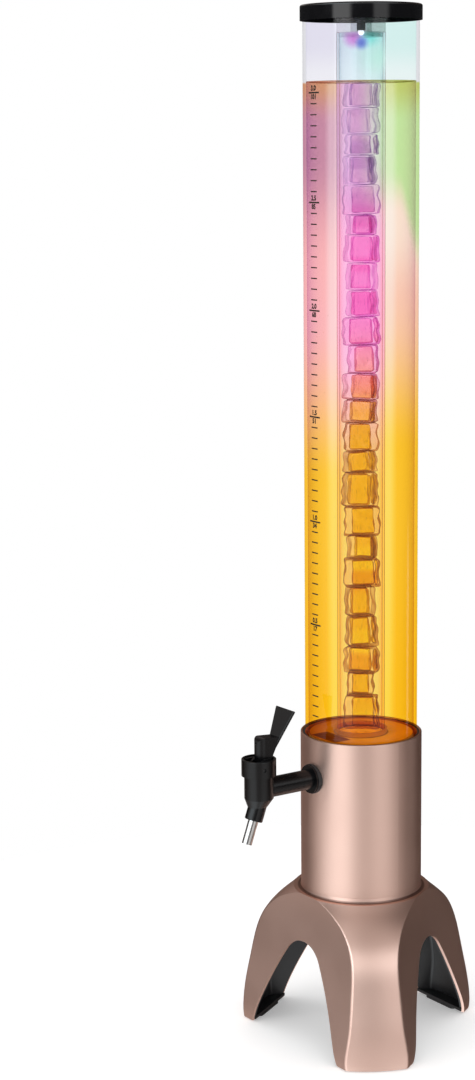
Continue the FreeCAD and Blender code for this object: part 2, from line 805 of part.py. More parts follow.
def valve_spring():
    low = stem_foot_up + stem_foot_height + spring_end_gap + spring_wire
    high = barrel_top - spring_end_gap - spring_wire
    height = high - low
    helix = Part.makeHelix(height / spring_turns, height, spring_radius)
    circle = Part.Wire(Part.makeCircle(spring_wire, Vec(spring_radius, 0, 0), Vec(0, 1, 0)))
    coil = helix.makePipeShell([circle], True, True)
    coil.translate(tap_point(0, low))
    return coil


NODES = {
    "base_shell": base_shell,
    "base_liner": base_liner,
    "foot_pads": foot_pads,
    "base_screws": base_screws,
    "collar": collar,
    "base_core": base_core,
    "tube_gasket": tube_gasket,
    "main_tube": main_tube,
    "ice_tube": ice_tube,
    "lid": lid,
    "lid_gasket": lid_gasket,
    "lid_plug": lid_plug,
    "light_housing": light_housing,
    "light_cover": light_cover,
    "light_screws": light_screws,
    "light_bulb": light_bulb,
    "light_board": light_board,
    "button_cell": button_cell,
    "light_button": light_button,
    "tap_body": tap_body,
    "tap_washer": tap_washer,
    "tap_inner_gasket": tap_inner_gasket,
    "tap_nut": tap_nut,
    "spout_tube": spout_tube,
    "bonnet": bonnet,
    "stem_seal": stem_seal,
    "lever": lever,
    "lever_pin": lever_pin,
    "valve_plunger": valve_plunger,
    "valve_seal": valve_seal,
    "valve_spring": valve_spring,
}

os.makedirs("parts", exist_ok=True)
for name, make in NODES.items():
    shape = make()
    shape.exportStep(f"parts/{name}.step")
    box = shape.BoundBox
    print(f"{name:18s} solids {len(shape.Solids)} valid {shape.isValid()} volume {shape.Volume / 1000:9.3f} cm3"
          f"  z {box.ZMin:7.2f}..{box.ZMax:7.2f}")
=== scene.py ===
"""The looks of the beer tower: materials for its solids, and the beer, the ice, the print and the floor.

Metres, in the model's own frame: +Z is up and the tap points along -Y. Angles round the tower are counted
in degrees from the tap's side towards +X. Colours are linear.
"""
import math
import random
import bmesh
import bpy
from mathutils import Euler, Matrix, Vector, noise


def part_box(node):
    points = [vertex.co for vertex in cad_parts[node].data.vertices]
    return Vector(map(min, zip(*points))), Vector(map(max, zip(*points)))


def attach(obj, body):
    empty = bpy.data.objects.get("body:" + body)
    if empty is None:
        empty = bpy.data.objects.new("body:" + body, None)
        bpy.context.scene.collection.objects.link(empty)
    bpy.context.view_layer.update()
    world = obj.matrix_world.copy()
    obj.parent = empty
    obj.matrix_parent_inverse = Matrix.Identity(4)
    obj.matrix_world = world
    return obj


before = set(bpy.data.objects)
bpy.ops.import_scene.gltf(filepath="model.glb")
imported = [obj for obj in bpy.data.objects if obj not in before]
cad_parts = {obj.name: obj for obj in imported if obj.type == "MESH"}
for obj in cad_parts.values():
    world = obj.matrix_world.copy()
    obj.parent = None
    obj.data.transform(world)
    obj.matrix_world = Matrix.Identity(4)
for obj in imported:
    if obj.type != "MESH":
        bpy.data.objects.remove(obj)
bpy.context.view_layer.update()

# ---- Camera, with angles in degrees ----
camera_azimuth = 52.5
camera_distance = 2.0
camera_height = 0.808
camera_heading = 3.127           # that it looks to the left of the tower's axis
camera_pitch = 10.085            # downwards
camera_roll = -0.545
camera_lens = 76.56              # millimetres

# ---- Directions in the picture ----
facing = math.radians(camera_azimuth)
to_camera = Vector((math.sin(facing), -math.cos(facing), 0))
picture_right = Vector((math.cos(facing), math.sin(facing), 0))

# ---- Tubes, collar and core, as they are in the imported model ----
tube_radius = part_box("main_tube")[1].x
ice_low, ice_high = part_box("ice_tube")
collar_low, collar_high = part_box("collar")
tube_wall = 0.003                # of the main tube
tube_bore = tube_radius - tube_wall
ice_radius = ice_high.x
running_gap = 0.0003             # round and under the ice tube's foot
vessel_floor = ice_low.z - running_gap
socket_wall = 0.002              # of the socket that the ice tube stands in
socket_height = 0.004
socket_radius = ice_radius + running_gap + socket_wall
sump_half_width = 0.017
sump_near = -0.0255
sump_far = -0.042

# ---- Beer ----
beer_level = 0.848
beer_surface_steps = 24
skin = 0.0001                    # between the beer and the walls round it
meniscus = 0.0014
meniscus_reach = 0.0032
brink = 0.0005                   # a short band beside each edge, so that the walls' normals stay level
film_bore = 0.0002               # of the film of beer under the ice tube
shore = 0.001                    # half of the height in which a wall turns from wet to dry

# ---- Bubbles ----
bubble_seed = 5
bubble_count = 150
bubble_radii = (0.0002, 0.00055)
bubble_gap = 0.0001              # between a bubble and the beer's outside
bubble_margin = 0.01             # over the floor and under the beer's surface

# ---- Ice ----
ice_seed = 23
ice_floor = 0.003                # of the ice tube
ice_stack_top = 0.8483
cube_half_width = (0.0115, 0.0155)
cube_half_depth = (0.0080, 0.0090)
cube_height = (0.0175, 0.0305)
cube_shrink = 0.86               # of the heights, from the next height up
cube_shrink_above = 0.58
cube_turn = (4, 24)              # degrees that a cube's widest face is turned from the picture
cube_tilt = 2.0
cube_aside = 0.0014              # how far a cube's middle is from the tube's axis, at most, each way
cube_gap = 0.0004
cube_cells = 14                  # along each edge of its mesh
cube_squareness = 12.0
cube_dimple = 0.02
cube_dimple_falloff = 3
cube_taper = 0.03
cube_wave = 0.05                 # of its sides, as a share of the half width
cube_waves = 430                 # radians to the metre
cube_waves_spread = 0.3          # from cube to cube
cube_wave_shift = 2.1            # radians from cube to cube
cube_lumps = 130                 # to the metre
cube_unevenness = 0.0010
cube_unevenness_upwards = 0.4    # as a share of that across
cube_unevenness_seed = 1795508327
core_share = 0.62                # of the cube's width and depth
core_height_share = 0.88
core_squareness = 14.0
core_offset = 0.12               # to one side, at most, as a share of the half width
core_offset_turn = 5.3           # radians from cube to cube
chip_width = 0.0011              # half of it
chip_place = 0.84                # as a share of the half width
chip_wave = 0.5
chip_squareness = 6.0

# ---- Printed scale: six numbered marks half a litre apart, each divided in ten ----
scale_azimuth = -1.0
scale_half_litre = 0.3816
scale_step = 0.0916
scale_marks = 6
scale_divisions = 10
scale_lowest = -9
ounces_per_litre = 33.814
ink_lift = 0.00004               # of the print's underside over the wall
ink_thickness = 0.00006
long_mark = 0.0150
short_mark = 0.0088
long_mark_width = 0.0014
short_mark_width = 0.0011
mark_steps = 8
figure_size = 0.0058
figure_boldness = 0.0003
figure_lift = 0.0036

# ---- Floor ----
floor_radius = 0.62
floor_sides = 96
floor_lift = 0.30                # the light added for what looks straight at it

# ---- Softboxes: name, degrees to the right of the camera, distance, height, width and watts ----
softboxes = (
    ("key_softbox", -45, 1.6, 1.2, 1.1, 9.0),
    ("fill_softbox", 50, 1.8, 0.9, 1.0, 4.5),
    ("top_softbox", 0, 0.2, 2.1, 1.4, 15.0),
    ("back_softbox", 180, 1.8, 1.2, 1.2, 5.0),
)
softbox_shape = 1.3              # the other side of a softbox, as a share of its width
softbox_aim = 0.4                # the height that they all face

# ---- Studio that mirrors see. Each light has its window of degrees to the right of the camera: where it
# starts, is full, starts to end and has ended. Heights are sines of the angle over the horizon ----
white = (1, 1, 1)
room_light = (0.55, 0.55, 0.55)  # for what is neither seen nor mirrored
broad_dimmest = 0.05
broad_lights = (
    ((-128, -78, 46, 108), 0.45),
    ((-179, -165, -142, -128), 0.16),
    ((-95, -55, -28, -5), 0.61),
    ((15, 30, 50, 85), 0.22),
)
broad_by_height = (              # start, end, and how many times brighter it is past the end
    (0.12, 0.30, 2.70),
    (-0.28, -0.38, 1.35),
    (0.40, 0.68, 0.30),
)
broad_below = (-0.32, -0.60)     # start and end of what is added
broad_added_below = 0.22
broad_warmth = (1.12, 1.18)      # powers of its green and blue
crisp_dimmest = 0.02
crisp_lights = (
    ((-58, -50, -25, -14), 2.2),
    ((20, 27, 46, 58), 1.1),
)
crisp_heights = (-0.12, -0.04, 0.10, 0.18)
strip_angles = (106, 108, 113, 115)
strip_heights = (-0.262, -0.25, -0.19, -0.16)
strip_brightness = 1.6

# ---- Lamp under the lid: its height, and the patches of its light painted on the ice tube ----
lamp_height = 0.8885
lamp_glow_patches = (                  # across, below it, reach, colour
    (-0.0070, 0.0030, 0.0110, (0.93, 0.70, 0.93)),
    (0.0085, 0.0030, 0.0120, (0.70, 0.96, 0.95)),
    (0.0008, 0.0075, 0.0075, (0.62, 0.66, 0.94)),
    (0.0150, 0.0200, 0.0260, (0.92, 0.99, 0.97)),
)

# ---- Its light in the beer: what two walls of it leave of white. A glow is a row of colours that come one
# over the other, each after the height where it starts and that where it is full ----
amber = (1.0, 0.56, 0.024)
deep_amber = (1.0, 0.52, 0.008)
amber_height = 0.50              # where deep amber has turned to amber
left_glow = (
    (0.505, 0.650, (1.0, 0.48, 0.49)),
    (0.69, 0.79, (0.590, 0.27, 0.38)),
)
left_top = (0.66, 0.32, 0.18)
right_glow = (
    (0.53, 0.680, (0.98, 0.60, 0.46)),
    (0.66, 0.725, (0.99, 0.78, 0.64)),
)
lime = (0.57, 0.80, 0.36)
lime_heights = (0.735, 0.775)
lime_sooner = 0.05               # that it starts lower at the right edge
right_top = (0.55, 0.63, 0.17)
top_band = 0.035
left_loss = (0.73, 0.58, 0.85)   # what is left of all these where the tube is seen edge on
right_loss = (0.72, 0.58, 0.70)
middle_amber = (0.96, 0.68, 0.13)  # this and the next two in front of the ice tube
middle_left_glow = (
    (0.50, 0.62, (1.0, 0.60, 0.78)),
    (0.70, 0.79, (0.78, 0.50, 0.76)),
)
middle_right_glow = (
    (0.50, 0.62, (1.0, 0.60, 0.78)),
    (0.70, 0.79, (0.68, 0.78, 0.64)),
)
glow_drift = 0.02                # up and down of a glow's heights

# ---- Its light in the ice, low, half way up and at the top: what two faces leave of the beer's colour ----
ice_middle_heights = (0.54, 0.66)
ice_top_heights = (0.71, 0.77)
wing_light = ((0.97, 0.78, 0.82), (1.0, 0.76, 0.94), (0.93, 0.87, 0.93))
# dark lines: painted shade where the ice's faces turn away, and its cracks
line_shade_and_cracks = ((0.32, 0.13, 0.03), (0.60, 0.12, 0.56), (0.40, 0.28, 0.58))
core_light = ((1.0, 0.92, 0.05), (1.0, 0.64, 0.86), (0.90, 0.82, 0.84))
deep_core_light = ((0.92, 0.60, 0.03), (0.98, 0.42, 0.74), (0.72, 0.56, 0.72))

# ---- Its light in the air over the beer ----
lavender_haze = (0.78, 0.76, 0.88)
mint_haze = (0.68, 0.89, 0.87)
pale_haze = (0.95, 0.96, 0.97)
pale_haze_heights = (0.882, 0.852)


# ---- Small helpers for node trees ----
class Graph:
    """A node tree, with short calls that add a node and give its output."""

    def __init__(self, tree, keep=False):
        self.tree = tree
        if not keep:
            tree.nodes.clear()

    def feed(self, socket, value):
        """Links a socket to another one, or sets it to a plain value."""
        if isinstance(value, bpy.types.NodeSocket):
            self.tree.links.new(value, socket)
        elif socket.type == "RGBA":
            socket.default_value = (*value, 1)
        else:
            socket.default_value = value

    def node(self, kind, inputs=(), **settings):
        made = self.tree.nodes.new("ShaderNode" + kind)
        for name, value in settings.items():
            setattr(made, name, value)
        for name, value in dict(inputs).items():
            self.feed(made.inputs[name], value)
        return made

    def math(self, operation, a, b=0.0, c=0.0):
        return self.node("Math", {0: a, 1: b, 2: c}, operation=operation).outputs[0]

    def dot(self, vector, direction):
        made = self.node("VectorMath", {0: vector, 1: tuple(direction)}, operation="DOT_PRODUCT")
        return made.outputs["Value"]

    def from_axis(self, place):
        """The distance from the tower's axis."""
        flat = self.node("VectorMath", {0: place, 1: (1, 1, 0)}, operation="MULTIPLY").outputs[0]
        return self.node("VectorMath", {0: flat}, operation="LENGTH").outputs["Value"]

    def step(self, value, start, end, low=0.0, high=1.0):
        """Goes smoothly from low to high as value goes from start to end."""
        return self.node("MapRange", {0: value, 1: start, 2: end, 3: low, 4: high},
                         interpolation_type="SMOOTHSTEP").outputs[0]

    def window(self, value, rise_start, rise_end, fall_start, fall_end):
        """One between rise_end and fall_start, nought outside."""
        rise = self.step(value, rise_start, rise_end)
        return self.math("MULTIPLY", rise, self.step(value, fall_start, fall_end, 1, 0))

    def mix(self, share, a, b, blend="MIX"):
        return self.node("Mix", {0: share, 6: a, 7: b}, data_type="RGBA", blend_type=blend).outputs[2]

    def times(self, colour, stain):
        return self.mix(1.0, colour, stain, "MULTIPLY")

    def stained(self, share, colour, stain):
        """A colour that in part is multiplied by a stain."""
        return self.mix(share, colour, self.times(colour, stain))

    def root(self, colour):
        """What one wall leaves, of a colour that two leave."""
        return self.node("Gamma", {"Color": colour, "Gamma": 0.5}).outputs[0]

    def noise(self, vector, scale, detail=2.0, roughness=0.5):
        inputs = {"Vector": vector, "Scale": scale, "Detail": detail, "Roughness": roughness}
        return self.node("TexNoise", inputs).outputs["Fac"]

    def stretch(self, vector, scale):
        return self.node("Mapping", {"Vector": vector, "Scale": scale}).outputs[0]

    def bump(self, height, strength, distance):
        return self.node("Bump", {"Height": height, "Strength": strength, "Distance": distance}).outputs[0]

    def place(self):
        return self.node("TexCoord").outputs["Object"]

    def edge_on(self, power=1.0):
        """How far a glassy surface is turned away, from 0 face on to 1 edge on."""
        return self.math("POWER", self.node("LayerWeight", {"Blend": 0.5}).outputs["Facing"], power)

    def rays(self):
        """Two shares: one for what looks straight or through clear matter, and one for what mirrors see."""
        ray = self.node("LightPath").outputs
        return self.math("MAXIMUM", ray["Is Camera Ray"], ray["Is Transmission Ray"]), ray["Is Glossy Ray"]

    def surface(self, shader):
        self.node("OutputMaterial", {"Surface": shader})

    def principled(self, inputs):
        """A plain surface."""
        self.surface(self.node("BsdfPrincipled", inputs).outputs[0])

    def glassy(self, tint, gloss, normal=None):
        """Clear matter of a tint, with a polished face outside only: gloss scales its reflection."""
        clear = self.node("BsdfTransparent", {"Color": tint})
        shine = self.node("BsdfGlossy", {"Color": white, "Roughness": 0.04})
        if normal is not None:
            self.feed(shine.inputs["Normal"], normal)
        outside = self.math("SUBTRACT", 1.0, self.node("NewGeometry").outputs["Backfacing"])
        reflects = self.math("MULTIPLY_ADD", self.edge_on(5.0), 0.40, 0.04)
        share = self.math("MULTIPLY", self.math("MULTIPLY", reflects, outside), gloss)
        self.surface(self.node("MixShader", {0: share, 1: clear.outputs[0], 2: shine.outputs[0]}).outputs[0])


def material(name):
    made = bpy.data.materials.new(name)
    made.use_nodes = True
    return made, Graph(made.node_tree)


def dress(names, made):
    """Puts a material on CAD nodes."""
    for name in names:
        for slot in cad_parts[name].material_slots:
            slot.material = made


# ---- Camera, world, lamps and floor ----
def make_camera():
    data = bpy.data.cameras.new("camera")
    data.lens = camera_lens
    camera = bpy.data.objects.new("camera", data)
    bpy.context.scene.collection.objects.link(camera)
    heading = math.radians(camera_azimuth + camera_heading)
    pitch = math.radians(camera_pitch)
    roll = math.radians(camera_roll)
    level_right = Vector((math.cos(heading), math.sin(heading), 0))
    ahead = Vector((-math.sin(heading), math.cos(heading), 0))
    forward = ahead * math.cos(pitch) - Vector((0, 0, math.sin(pitch)))
    level_up = level_right.cross(forward)
    right = level_right * math.cos(roll) + level_up * math.sin(roll)
    up = level_up * math.cos(roll) - level_right * math.sin(roll)
    turned = Matrix((right, up, -forward)).transposed().to_4x4()
    stand = to_camera * camera_distance + Vector((0, 0, camera_height))
    camera.matrix_world = Matrix.Translation(stand) @ turned
    bpy.context.scene.camera = camera


def make_world():
    """White for what looks straight at it. Mirrors see a studio: a broad light in front, strongest on the
    left and warmer where it is dim, two crisp softboxes near the horizon and a strip low on the right."""
    world = bpy.data.worlds.new("studio")
    world.use_nodes = True
    bpy.context.scene.world = world
    g = Graph(world.node_tree)
    direction = g.node("TexCoord").outputs["Generated"]
    angle = g.math("ARCTAN2", g.dot(direction, picture_right), g.dot(direction, to_camera))
    angle = g.math("DEGREES", angle)
    height = g.dot(direction, (0, 0, 1))
    broad = broad_dimmest
    for angles, brightness in broad_lights:
        broad = g.math("MULTIPLY_ADD", g.window(angle, *angles), brightness, broad)
    for start, end, factor in broad_by_height:
        broad = g.math("MULTIPLY", broad, g.step(height, start, end, 1.0, factor))
    broad = g.math("ADD", broad, g.step(height, *broad_below, 0.0, broad_added_below))
    green, blue = (g.math("POWER", broad, power) for power in broad_warmth)
    broad = g.node("CombineXYZ", {"X": broad, "Y": green, "Z": blue}).outputs[0]
    crisp = crisp_dimmest
    for angles, brightness in crisp_lights:
        crisp = g.math("MULTIPLY_ADD", g.window(angle, *angles), brightness, crisp)
    light = g.mix(g.window(height, *crisp_heights), broad, crisp)
    strip = g.math("MULTIPLY", g.window(angle, *strip_angles), g.window(height, *strip_heights))
    light = g.mix(1.0, light, g.math("MULTIPLY", strip, strip_brightness), "ADD")
    straight, mirrored = g.rays()
    strength = g.mix(straight, g.mix(mirrored, room_light, light), white)
    background = g.node("Background", {"Color": strength, "Strength": 1.0})
    g.node("OutputWorld", {"Surface": background.outputs[0]})


def make_lamp(name, side, distance, height, width, watts):
    """A softbox that lights the tower's middle. Side is in degrees to the right of the camera."""
    data = bpy.data.lights.new(name, "AREA")
    data.shape = "RECTANGLE"
    data.size = width
    data.size_y = width * softbox_shape
    data.energy = watts
    lamp = bpy.data.objects.new(name, data)
    bpy.context.scene.collection.objects.link(lamp)
    a = math.radians(side)
    outwards = to_camera * math.cos(a) + picture_right * math.sin(a)
    lamp.location = outwards * distance + Vector((0, 0, height))
    aim = Vector((0, 0, softbox_aim)) - lamp.location
    lamp.rotation_mode = "QUATERNION"
    lamp.rotation_quaternion = aim.to_track_quat("-Z", "Y")
    lamp.visible_glossy = False


def make_floor():
    """A pale floor. What looks straight at it sees it a little brighter, so that it meets the white behind
    it, and mirrors look through it."""
    bm = bmesh.new()
    bmesh.ops.create_circle(bm, cap_ends=True, radius=floor_radius, segments=floor_sides)
    mesh = bpy.data.meshes.new("floor")
    bm.to_mesh(mesh)
    bm.free()
    floor = bpy.data.objects.new("floor", mesh)
    bpy.context.scene.collection.objects.link(floor)
    made, g = material("pale_floor")
    straight, mirrored = g.rays()
    mottle = g.mix(g.noise(g.place(), scale=60, detail=4), (0.80, 0.80, 0.80), (0.83, 0.83, 0.83))
    paint = g.node("BsdfDiffuse", {"Color": mottle})
    lift = g.node("Emission", {"Color": white, "Strength": g.math("MULTIPLY", straight, floor_lift)})
    both = g.node("AddShader", {0: paint.outputs[0], 1: lift.outputs[0]})
    clear = g.node("BsdfTransparent")
    g.surface(g.node("MixShader", {0: mirrored, 1: both.outputs[0], 2: clear.outputs[0]}).outputs[0])
    mesh.materials.append(made)


# ---- Opaque materials ----
black_abs = {"colour": (0.018, 0.018, 0.020), "roughness": 0.38, "grain": 0.2, "grain_size": 900}


def plastic(name, colour, roughness, grain, grain_size, spread=0.05, **more):
    """Moulded plastic or rubber: a fine grain, slight clouds in its colour and gloss, and handling marks."""
    made, g = material(name)
    place = g.place()
    clouds = g.noise(place, scale=35, detail=4, roughness=0.6)
    scratches = g.noise(g.stretch(place, (900, 900, 60)), scale=1.0, detail=3, roughness=0.7)
    gloss = g.math("ADD", g.step(clouds, 0.3, 0.7, roughness - spread, roughness + spread),
                   g.step(scratches, 0.55, 0.8, 0.0, spread))
    pale = tuple(min(1.0, c * 1.35 + 0.001) for c in colour)
    tint = g.mix(g.step(clouds, 0.35, 0.75), colour, pale)
    bump = g.bump(g.noise(place, scale=grain_size), strength=grain, distance=0.0004)
    g.principled({"Base Color": tint, "Roughness": gloss, "Normal": bump, **more})
    return made


def base_plastic():
    """Black plastic, with painted light in the groove: the beer's amber that comes down through the tube's
    wall. The ice tube's socket in the beer has a painted brown glow."""
    made = plastic("core_black_abs", **black_abs)
    g = Graph(made.node_tree, keep=True)
    colour = made.node_tree.nodes["Principled BSDF"].inputs["Base Color"]
    place = g.place()
    height = g.dot(place, (0, 0, 1))
    radius = g.from_axis(place)
    groove = g.window(radius, tube_bore - 0.0008, tube_bore - 0.0004,
                      tube_radius + 0.0005, tube_radius + 0.0007)
    groove = g.math("MULTIPLY", groove, g.step(height, vessel_floor + 0.0004, vessel_floor + 0.0002))
    socket = g.window(radius, ice_radius, ice_radius + 0.0002, socket_radius, socket_radius + 0.0002)
    socket = g.math("MULTIPLY", socket, g.step(height, vessel_floor, vessel_floor + 0.0005))
    # painted light: amber in the groove and a brown glow on the socket
    tint = g.mix(groove, colour.links[0].from_socket, (0.62, 0.30, 0.05))
    g.feed(colour, g.mix(socket, tint, (0.60, 0.24, 0.06)))
    return made


def rose_gold():
    """Satin metallic paint: fine flakes, a slight orange peel, a thin clear coat, and painted shade in the
    seam at the collar's foot."""
    light_paint = (0.80, 0.555, 0.470)
    deep_paint = (0.745, 0.505, 0.425)
    flake = (0.95, 0.76, 0.68)
    # painted shade for the seam at the collar's foot
    seam_shade = (0.16, 0.10, 0.085)
    sheen = (0.85, 0.62, 0.54)
    seam_radii = (collar_high.x + 0.0030, collar_high.x + 0.0015)
    made, g = material("rose_gold_paint")
    place = g.place()
    clouds = g.noise(place, scale=16, detail=3)
    flakes = g.noise(place, scale=2600, detail=1)
    tint = g.mix(g.step(flakes, 0.55, 0.75, 0, 0.22), g.mix(clouds, light_paint, deep_paint), flake)
    # painted shade: darker where the collar's foot meets the deck
    seam = g.window(g.dot(place, (0, 0, 1)), collar_low.z - 0.0012, collar_low.z - 0.0004,
                    collar_low.z + 0.0008, collar_low.z + 0.0020)
    seam = g.math("MULTIPLY", seam, g.step(g.from_axis(place), *seam_radii, 0, 0.75))
    gloss = g.math("ADD", g.step(clouds, 0.3, 0.7, 0.37, 0.43), g.step(flakes, 0.5, 0.8, 0.0, 0.07))
    bump = g.bump(g.noise(place, scale=380), strength=0.06, distance=0.0004)
    g.principled({"Base Color": g.mix(seam, tint, seam_shade), "Metallic": 0.97, "Roughness": gloss,
                  "Normal": bump, "Specular Tint": sheen, "Coat Weight": 0.12, "Coat Roughness": 0.25})
    return made


def metal(name, colour, roughness, lines):
    """Drawn or turned metal, with fine lines along the axis on which their scale is smallest."""
    made, g = material(name)
    brushed = g.noise(g.stretch(g.place(), lines), scale=1.0, detail=3, roughness=0.6)
    g.principled({"Base Color": g.mix(brushed, colour, tuple(c * 0.88 for c in colour)), "Metallic": 1.0,
                  "Roughness": g.step(brushed, 0.25, 0.75, roughness, roughness * 1.6),
                  "Normal": g.bump(brushed, strength=0.05, distance=0.0002)})
    return made


def circuit_board():
    """Green lacquer, with a net of paler tracks under it."""
    made, g = material("green_board")
    cells = g.node("TexVoronoi", {"Vector": g.place(), "Scale": 420.0}, feature="DISTANCE_TO_EDGE")
    tracks = cells.outputs["Distance"]
    g.principled({"Base Color": g.mix(g.step(tracks, 0.02, 0.06), (0.09, 0.34, 0.16), (0.03, 0.17, 0.07)),
                  "Roughness": 0.35, "Normal": g.bump(tracks, strength=0.15, distance=0.0002)})
    return made


def ink():
    """Screen-printed ink, nearly black, slightly uneven."""
    made, g = material("scale_ink")
    worn = g.noise(g.place(), scale=1800)
    g.principled({"Base Color": g.mix(worn, (0.012, 0.008, 0.006), (0.035, 0.022, 0.014)),
                  "Roughness": g.step(worn, 0.3, 0.7, 0.4, 0.6)})
    return made


def lit_lamp():
    """The lamp's clear dome, lit from inside, brightest at its tip, which points down."""
    made, g = material("lit_lamp")
    place = g.place()
    low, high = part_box("light_bulb")
    hot = g.step(g.dot(place, (0, 0, 1)), high.z, low.z, 0.8, 2.2)
    colour = g.mix(g.noise(place, scale=500), (0.95, 0.95, 1.0), white)
    g.principled({"Base Color": colour, "Roughness": 0.2, "Emission Color": colour, "Emission Strength": hot})
    return made


# ---- Clear materials ----
class Glow:
    """The colours that the lamp's light gives to beer, ice and tube, by height and from left to right."""

    def __init__(self, g):
        self.g = g
        self.place = g.place()
        self.height = g.dot(self.place, (0, 0, 1))
        self.across = g.dot(self.place, picture_right / tube_radius)
        drift = g.math("MULTIPLY_ADD", g.noise(self.place, scale=9), glow_drift, -glow_drift / 2)
        self.level = g.math("ADD", self.height, drift)

    def blend(self, colour, glow):
        """A glow's colours over a first one."""
        for start, full, above in glow:
            colour = self.g.mix(self.g.step(self.level, start, full), colour, above)
        return colour

    def beer(self):
        """What two walls of the beer leave of white."""
        g = self.g
        base = g.mix(g.step(self.height, vessel_floor, amber_height), deep_amber, amber)
        top = g.step(self.height, beer_level - top_band, beer_level)
        left = g.mix(top, self.blend(base, left_glow), left_top)
        greening = g.math("MULTIPLY_ADD", g.step(self.across, 0.65, 1.0), lime_sooner, self.level)
        right = g.mix(g.step(greening, *lime_heights), self.blend(base, right_glow), lime)
        return g.mix(g.step(self.across, -0.45, 0.45), left, g.mix(top, right, right_top))

    def loss(self):
        """What is left of the beer's colour at the tube's edges."""
        return self.g.mix(self.g.step(self.across, -0.3, 0.3), left_loss, right_loss)

    def middle(self):
        """In front of the ice tube."""
        left = self.blend(middle_amber, middle_left_glow)
        right = self.blend(middle_amber, middle_right_glow)
        return self.g.mix(self.g.step(self.across, -0.1, 0.35), left, right)

    def ice(self, low, middle, high):
        """A stain of the ice by height."""
        return self.blend(low, ((*ice_middle_heights, middle), (*ice_top_heights, high)))

    def haze(self):
        """In the air above the beer: lavender on the left, mint on the right, paler towards the beer."""
        haze = self.g.mix(self.g.step(self.across, -0.6, 0.5), lavender_haze, mint_haze)
        return self.g.mix(self.g.step(self.height, *pale_haze_heights, 0.0, 0.55), haze, pale_haze)

    def wet(self):
        """One below the beer's surface, nought above it."""
        return self.g.step(self.height, beer_level + shore, beer_level - shore)


def tube_acrylic():
    """Clear wall. Beside the beer, where only the wall is looked through, the beer's colour that a thick wall
    would show is painted on it, paler at the outermost edge. Over the beer it is a little grey there, and its
    inside carries the haze of the lamp's light."""
    made, g = material("tube_acrylic")
    glow = Glow(g)
    outer = g.step(g.from_axis(glow.place), tube_bore + tube_wall / 3, tube_radius - tube_wall / 3)
    wet = glow.wet()
    # painted light: the beer's colour that the wall shows edge on beside the beer
    beside = g.window(g.edge_on(), 0.62, 0.68, 0.82, 1.10)
    stain = g.mix(beside, white, g.mix(wet, (0.89, 0.89, 0.91), g.root(glow.beer())))
    haze = g.mix(wet, g.root(glow.haze()), white)
    streaks = g.noise(g.stretch(glow.place, (260, 260, 5)), scale=1.0, detail=3)
    bump = g.bump(streaks, strength=0.03, distance=0.0003)
    g.glassy(g.mix(outer, haze, stain), g.math("MULTIPLY", outer, 0.7), bump)
    return made


def ice_acrylic():
    """The ice tube's clear wall: deeper at its edges, with the lamp's light under the lid painted on it."""
    made, g = material("ice_tube_acrylic")
    glow = Glow(g)
    wet = glow.wet()
    turned = g.edge_on(2.5)
    face = g.mix(g.window(glow.level, 0.56, 0.66, 0.74, 0.80), white, (1.0, 0.95, 1.0))
    wet_tint = g.mix(turned, face, g.mix(0.6, white, glow.beer()))
    dry_tint = g.mix(turned, (0.96, 0.99, 1.0), (0.72, 0.80, 0.84))
    tint = g.mix(wet, dry_tint, wet_tint)
    tint = g.stained(g.step(g.edge_on(), 0.75, 0.95), tint, (0.62, 0.42, 0.48))
    right = g.math("MULTIPLY", glow.across, tube_radius)
    flat = g.node("CombineXYZ", {"X": right, "Y": glow.height}).outputs[0]
    # painted glow of the lamp on the ice tube
    for across, below, reach, colour in lamp_glow_patches:
        away = g.node("VectorMath", {0: flat, 1: (across, lamp_height - below, 0)}, operation="DISTANCE")
        tint = g.mix(g.step(away.outputs["Value"], reach, 0.0), tint, colour)
    g.glassy(tint, g.math("MULTIPLY_ADD", wet, -0.5, 0.7))
    return made


def frosted_plug():
    """Frosted plastic that lets the lamp's stem show through, dimmer on the right. Its thin spigot is almost
    clear."""
    spigot_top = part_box("lid_plug")[0].z + 0.0040
    made, g = material("frosted_plug")
    place = g.place()
    cloud = g.noise(place, scale=300, detail=3)
    spigot = g.step(g.dot(place, (0, 0, 1)), spigot_top + 0.0002, spigot_top - 0.0002)
    dim = g.step(g.dot(place, picture_right), 0.002, 0.006)
    tint = g.mix(dim, (0.95, 0.94, 0.96), g.mix(cloud, (0.80, 0.84, 0.83), (0.74, 0.78, 0.77)))
    clear = g.node("BsdfTransparent", {"Color": tint})
    paint = g.mix(cloud, (0.62, 0.63, 0.63), (0.50, 0.51, 0.51))
    frost = g.node("BsdfPrincipled", {"Base Color": paint, "Roughness": 0.5,
                                      "Normal": g.bump(cloud, strength=0.2, distance=0.0004)})
    share = g.math("MULTIPLY_ADD", spigot, -0.05, 0.09)
    g.surface(g.node("MixShader", {0: share, 1: clear.outputs[0], 2: frost.outputs[0]}).outputs[0])
    return made


def beer_body():
    """Clear amber: deeper towards its edges, pale where the ice tube leaves little beer to look through.
    Only its top shines."""
    made, g = material("beer")
    glow = Glow(g)
    turned = g.edge_on()
    thickness = g.step(turned, 0.16, 0.28, 0.60, 1.0)
    colour = g.node("Gamma", {"Color": glow.beer(), "Gamma": thickness}).outputs[0]
    colour = g.mix(g.step(turned, 0.097, 0.113), glow.middle(), colour)
    colour = g.times(colour, g.mix(g.step(turned, 0.2, 1.0), white, glow.loss()))
    outer = g.step(g.from_axis(glow.place), ice_radius + 0.004, ice_radius + 0.008)
    top = g.step(g.dot(g.node("NewGeometry").outputs["Normal"], (0, 0, 1)), 0.4, 0.8)
    tint = g.mix(top, g.mix(outer, white, g.root(colour)), (0.88, 0.74, 0.50))
    g.glassy(tint, g.math("MULTIPLY", top, 0.8))
    return made


